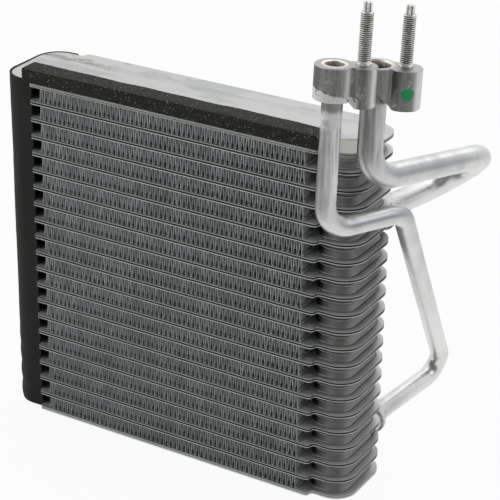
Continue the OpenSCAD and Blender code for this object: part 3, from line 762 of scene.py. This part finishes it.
def beadTree():
    b = Build("cupJoints", dict(pitch=core["pitch"], lowest=core["cover"] + core["pitch"] / 2,
                                thickness=beads["thickness"], count=core["gaps"]), takesGeometry=True)
    v = b.value
    lowest = b.vector(Z=v("lowest") * mm)
    stack = b.add("GeometryNodeMeshLine", {"Count": v("count"), "Start Location": lowest,
                                           "Offset": b.vector(Z=v("pitch") * mm)})
    copies = b.add("GeometryNodeInstanceOnPoints", {"Points": stack, "Instance": v("Geometry")})
    loops = b.add("GeometryNodeRealizeInstances", {"Geometry": copies})
    wobble = b.add("ShaderNodeTexNoise", {"Scale": 220.0, "Detail": 2.0})
    curve = b.add("GeometryNodeMeshToCurve", {"Mesh": loops})
    curve = b.add("GeometryNodeSetCurveRadius", {"Curve": curve, "Radius": 0.6 + wobble * 0.8})
    profile = b.add("GeometryNodeCurvePrimitiveCircle", {"Resolution": 6, "Radius": v("thickness") * mm})
    b.close(b.add("GeometryNodeCurveToMesh", {"Curve": curve, "Profile Curve": profile}))
    return b


piece = beadTree().make("cup_joint_beads", finishes["cupJoint"], base=cupLoop())
smooth(piece, 60)
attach(piece, "root")
print("cup joints", len(piece.data.polygons))

# Uneven braze fillets round each pipe, at its joint and under its block. In mm, how far each stands off the
# pipe and how thick it is, then how much of that is even, how much swings and in how many lumps
fillets = dict(blockGap=0.1, blockThick=0.7, jointGap=0.2, jointThick=0.8, even=0.75, swing=0.7, lumps=1.6,
               squeeze=0.9, sides=8, around=44)


def fillet(name, radius, thick, matrix, seed):
    sides, around, lumps = (fillets[k] for k in ("sides", "around", "lumps"))
    points = []
    faces = []
    for n in range(around):
        a = 2 * math.pi * n / around
        uneven = abs(noise.noise(Vector((math.cos(a) * lumps, math.sin(a) * lumps, seed))))
        size = thick * (fillets["even"] + fillets["swing"] * uneven)
        for s in range(sides):
            t = 2 * math.pi * s / sides
            r = radius + size * fillets["squeeze"] * math.cos(t)
            points.append((r * math.cos(a), r * math.sin(a), size * math.sin(t)))
    for n in range(around):
        here, there = n * sides, (n + 1) % around * sides
        for s in range(sides):
            u = (s + 1) % sides
            faces.append((here + s, there + s, there + u, here + u))
    mesh = meshFrom(name, points, [], faces)
    mesh.transform(matrix)
    piece = addPiece(name, mesh, finishes["fillet"])
    smooth(piece, 70)
    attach(piece, "root")


for seed, side in enumerate(("inlet", "outlet")):
    leg = legs[side]
    half = leg["pipe"] / 2
    fillet(side + "_block_fillet", half + fillets["blockGap"], fillets["blockThick"],
           legFrame(leg) @ Matrix.Translation((0, 0, -leg["under"] * mm)), seed + 1.3)
    joint = Matrix.Translation((legs["jointX"] * mm, legs["jointY"] * mm, leg["joint"] * mm))
    fillet(side + "_joint_fillet", half + fillets["jointGap"], fillets["jointThick"],
           joint @ Matrix.Rotation(math.radians(-90), 4, "X"), seed + 5.3)
print("fillets")

# Foam strip along the front of the top plate. In mm: its box, the size of its faces, the radius of its
# edges and how far its top is sunk, with far and close for how far and how closely its skin is uneven
strip = dict(x0=-114.2, x1=108.9, y0=-34.0, y1=-19.5, z0=246.4, z1=256.2, cell=1.6, radius=0.7, sunk=0.3,
             free=0.02, sag=dict(far=0.45, close=0.045), up=dict(far=0.16, close=0.55),
             aside=dict(far=0.14, close=0.6), along=dict(far=0.2, close=0.5))


def stripTree(size):
    counts = [max(6, round(c / strip["cell"])) for c in size]
    labels = ("length", "width", "height", "along", "across", "up")
    b = Build("foamBlock", dict(zip(labels, (*size, *counts))))
    v = b.value
    b.close(b.add("GeometryNodeMeshCube", {
        "Size": b.vector(X=v("length") * mm, Y=v("width") * mm, Z=v("height") * mm),
        "Vertices X": v("along"), "Vertices Y": v("across"), "Vertices Z": v("up")}))
    return b


def foamStrip():
    s = strip
    size = [s[a + "1"] - s[a + "0"] for a in "xyz"]
    piece = stripTree(size).make("foam_strip", finishes["foam"])
    centre = Vector([(s[a + "0"] + s[a + "1"]) / 2 for a in "xyz"])
    half = Vector(size) / 2

    def bumps(p, kind, shift):
        return noise.noise(p * s[kind]["close"] + Vector(shift)) * s[kind]["far"]

    for vertex in piece.data.vertices:
        p = vertex.co / mm
        inner = Vector([max(-h + s["radius"], min(h - s["radius"], c)) for c, h in zip(p, half)])
        out = p - inner
        if out.length > 1e-6:
            p = inner + out.normalized() * s["radius"]
        lift = bumps(p, "sag", (3.1, 0, 0)) + bumps(p, "up", (0, 0, 0))
        aside = bumps(p, "sag", (3.1, 9, 4)) * 0.8 + bumps(p, "aside", (5, 5, 5))
        # The underside lies flat and strays half as far as the rest
        up = max(0.0, p.z / half.z)
        p.z += (lift - s["sunk"]) * up
        p.y += aside * (0.35 + 0.65 * up) * (1 if p.z > -half.z + 0.2 else 0.5)
        p.x += bumps(p, "along", (1, 2, 3))
        p.z = min(p.z, half.z - s["free"])
        vertex.co = (p + centre) * mm
    smooth(piece, 60)
    return piece


piece = foamStrip()
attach(piece, "root")
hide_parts("top_foam_strip")
print("foam strip", len(piece.data.polygons))

# Foam sheet bent round the wrapped end. In mm: its outer plan line and height, the size of its faces, and how
# thick it is. Its waves have how far they go and how closely they follow in plan and upwards. The ripple and
# the thicker fold fade away from a place in plan
wrap = dict(frontX=-109.5, rearX=-113.5, outerX=-135.9, half=30.4, radius=17.4, height=246.8, step=2.0,
            rows=84, cornerSteps=14, slack=0.06, stripGap=(0.8, 0.5, 0.05), thick=1.12, sunk=0.3, proud=-0.02,
            wave=dict(far=0.35, plan=0.03, up=0.018), bump=dict(far=0.10, plan=0.2, up=0.2),
            ripple=dict(far=0.6, plan=0.15, up=0.42, top=70.0, at=(-133.0, -27.0), reach=26.0),
            fold=dict(far=0.9, at=(-134.0, -14.0), reach=24.0))


def wrapPath():
    # Outer plan line from the front free edge round to the rear one, each point with its outward direction
    w = wrap
    cx, cy = w["outerX"] + w["radius"], w["half"] - w["radius"]
    path = []

    def straight(start, end, out):
        count = max(2, round(math.dist(start, end) / w["step"]))
        for n in range(count):
            path.append((*(a + (b - a) * n / count for a, b in zip(start, end)), *out))

    def corner(middle, start):
        for n in range(w["cornerSteps"]):
            a = math.radians(start - 90.0 * n / w["cornerSteps"])
            out = (math.cos(a), math.sin(a))
            path.append((cx + w["radius"] * out[0], middle + w["radius"] * out[1], *out))

    straight((w["frontX"], -w["half"]), (cx, -w["half"]), (0.0, -1.0))
    corner(-cy, 270)
    straight((w["outerX"], -cy), (w["outerX"], cy), (-1.0, 0.0))
    corner(cy, 180)
    straight((cx, w["half"]), (w["rearX"], w["half"]), (0.0, 1.0))
    path.append((w["rearX"], w["half"], 0.0, 1.0))
    return path


def endWrap():
    w = wrap
    rows = w["rows"]
    ripple = w["ripple"]
    outside = []
    inside = []

    def bumps(x, y, z, kind):
        return noise.noise(Vector((x * kind["plan"], y * kind["plan"], z * kind["up"]))) * kind["far"]

    def fading(x, y, kind):
        return kind["far"] * max(0.0, 1 - math.dist((x, y), kind["at"]) / kind["reach"])

    # The sheet ends below the foam strip, and a little below its full height elsewhere
    gapX, gapY, gapZ = w["stripGap"]
    for x, y, nx, ny in wrapPath():
        top = w["height"] - w["slack"] + w["slack"] * noise.noise(Vector((x * 0.05, y * 0.05, 2.0)))
        if y < strip["y1"] + gapY and x > strip["x0"] - gapX:
            top = min(top, core["top"] - gapZ)
        deep = w["thick"] + fading(x, y, w["fold"])
        for r in range(rows + 1):
            z = r / rows * top
            swing = math.sin(z * ripple["up"] + x * ripple["plan"]) * max(0.0, 1 - z / ripple["top"])
            wave = bumps(x, y, z, w["wave"]) + fading(x, y, ripple) * swing + bumps(x, y, z, w["bump"])
            wave = min(wave - w["sunk"], w["proud"])
            outside.append((x + nx * wave, y + ny * wave, z))
            inside.append((x + nx * (wave - deep), y + ny * (wave - deep), z))
    # Both sides of the sheet, then its lower and upper edges and its two free ends
    column = rows + 1
    back = len(outside)
    faces = []
    for low in range(0, back - column, column):
        high = low + rows
        for a in range(low, high):
            b = a + column
            faces.append((a + 1, b + 1, b, a))
            faces.append((back + a, back + b, back + b + 1, back + a + 1))
        faces.append((low, low + column, back + low + column, back + low))
        faces.append((back + high, back + high + column, high + column, high))
    for a in range(rows):
        faces.append((a, back + a, back + a + 1, a + 1))
    for a in range(back - column, back - 1):
        faces.append((a + 1, back + a + 1, back + a, a))
    return addPiece("end_wrap_sheet", meshFrom("end_wrap_sheet", outside + inside, [], faces),
                    finishes["wrap_foam"])


piece = endWrap()
smooth(piece, 50)
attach(piece, "root")
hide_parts("end_foam_wrap")
print("wrap", len(piece.data.polygons))

# Pale floor and room. The room is dim on the side where the photographer stands and bright above, beside and
# behind, as the metal mirrors it
stage = dict(floorHalf=4.0, floorColour=(0.86, 0.86, 0.86), floorLift=0.93, worldLight=0.86,
             dimWay=(0.40, -0.69, 0.60), dimFrom=0.35, dimTo=0.8, dimness=0.85, horizonLight=0.75,
             zenithLight=0.45)


def floorFinish():
    f = Finish("paleFloor", Roughness=0.9, Specular_IOR_Level=0.1)
    f.shader.inputs["Base Color"].default_value = rgba(stage["floorColour"])
    rays = f.add("ShaderNodeLightPath", out="Is Camera Ray")
    seen = rays.larger(rays.of("Is Glossy Ray")).larger(rays.of("Is Transmission Ray"))
    glow = f.add("ShaderNodeEmission", {"Color": (1, 1, 1, 1), "Strength": 1.0})
    matte = Wire(f, f.shader.outputs[0])
    lit = f.add("ShaderNodeMixShader", {0: seen * stage["floorLift"], 1: matte, 2: glow})
    out = next(n for n in f.tree.nodes if n.type == "OUTPUT_MATERIAL")
    f.tree.links.new(lit.socket, out.inputs["Surface"])
    return f.material


reach = stage["floorHalf"] / mm
corners = [(-reach, -reach, 0), (reach, -reach, 0), (reach, reach, 0), (-reach, reach, 0)]
floor = addPiece("floor", meshFrom("floor", corners, [], [(0, 1, 2, 3)]), floorFinish())

world = bpy.data.worlds.new("studio")
world.use_nodes = True
bpy.context.scene.world = world
sky = Net(world.node_tree)
ground = next(n for n in world.node_tree.nodes if n.type == "BACKGROUND")
ground.inputs["Color"].default_value = (1.0, 1.0, 1.0, 1.0)
way = sky.add("ShaderNodeSeparateXYZ", {"Vector": sky.add("ShaderNodeTexCoord", out="Generated")})
x, y, z = stage["dimWay"]
towards = way.of("X") * x + way.of("Y") * y + way.of("Z") * z
dim = towards.ramp(stage["dimFrom"], stage["dimTo"]) * stage["dimness"]
height = stage["horizonLight"] + stage["zenithLight"] * way.of("Z").ramp(0.0, 0.9)
room = stage["worldLight"] * (1 - dim) * height
# The camera sees plain white, and so do mirrors that face away from the photographer
rays = sky.add("ShaderNodeLightPath", out="Is Camera Ray")
backdrop = rays.of("Is Glossy Ray") * (1 - towards.ramp(-0.3, 0.3))
seen = rays.larger(rays.of("Is Transmission Ray")).larger(backdrop)
strength = room + seen * (1.0 - room)
world.node_tree.links.new(strength.socket, ground.inputs["Strength"])

# Square lamps that look at the middle of the core, in metres and watts
lamps = dict(target=(0, 0, 0.13),
             key=dict(place=(-1.5, -1.0, 1.3), size=2.2, watts=10.5),
             rim=dict(place=(1.5, 0.3, 1.3), size=0.9, watts=3.5),
             top=dict(place=(0.1, 1.1, 1.8), size=1.4, watts=7.0))
for name in ("key", "rim", "top"):
    lamp = lamps[name]
    data = bpy.data.lights.new(name, "AREA")
    data.shape = "SQUARE"
    data.size = lamp["size"]
    data.energy = lamp["watts"]
    light = bpy.data.objects.new(name, data)
    light.location = lamp["place"]
    light.rotation_euler = (Vector(lamps["target"]) - light.location).to_track_quat("-Z", "Y").to_euler()
    bpy.context.scene.collection.objects.link(light)

# The photo's camera: place in metres, angles in degrees, and its focal length in pixels of the square photo
view = dict(place=(0.6076, -0.9704, 0.6820), azimuth=30.22, elevation=25.36, roll=-0.95, focal=1890.9,
            pixels=500.0, sensor=36.0)
azimuth, elevation, roll = (math.radians(view[k]) for k in ("azimuth", "elevation", "roll"))
right = Vector((math.cos(azimuth), math.sin(azimuth), 0.0))
level = math.cos(elevation)
ahead = Vector((-math.sin(azimuth) * level, math.cos(azimuth) * level, -math.sin(elevation)))
above = right.cross(ahead)
turned = math.cos(roll) * right - math.sin(roll) * above
raised = math.sin(roll) * right + math.cos(roll) * above
lens = bpy.data.cameras.new("camera")
lens.sensor_width = view["sensor"]
lens.lens = view["focal"] / view["pixels"] * view["sensor"]
camera = bpy.data.objects.new("camera", lens)
turn = Matrix((turned, raised, -ahead)).transposed().to_4x4()
camera.matrix_world = Matrix.Translation(view["place"]) @ turn
bpy.context.scene.collection.objects.link(camera)
bpy.context.scene.camera = camera
bpy.context.scene.view_settings.view_transform = "Standard"
print("stage")
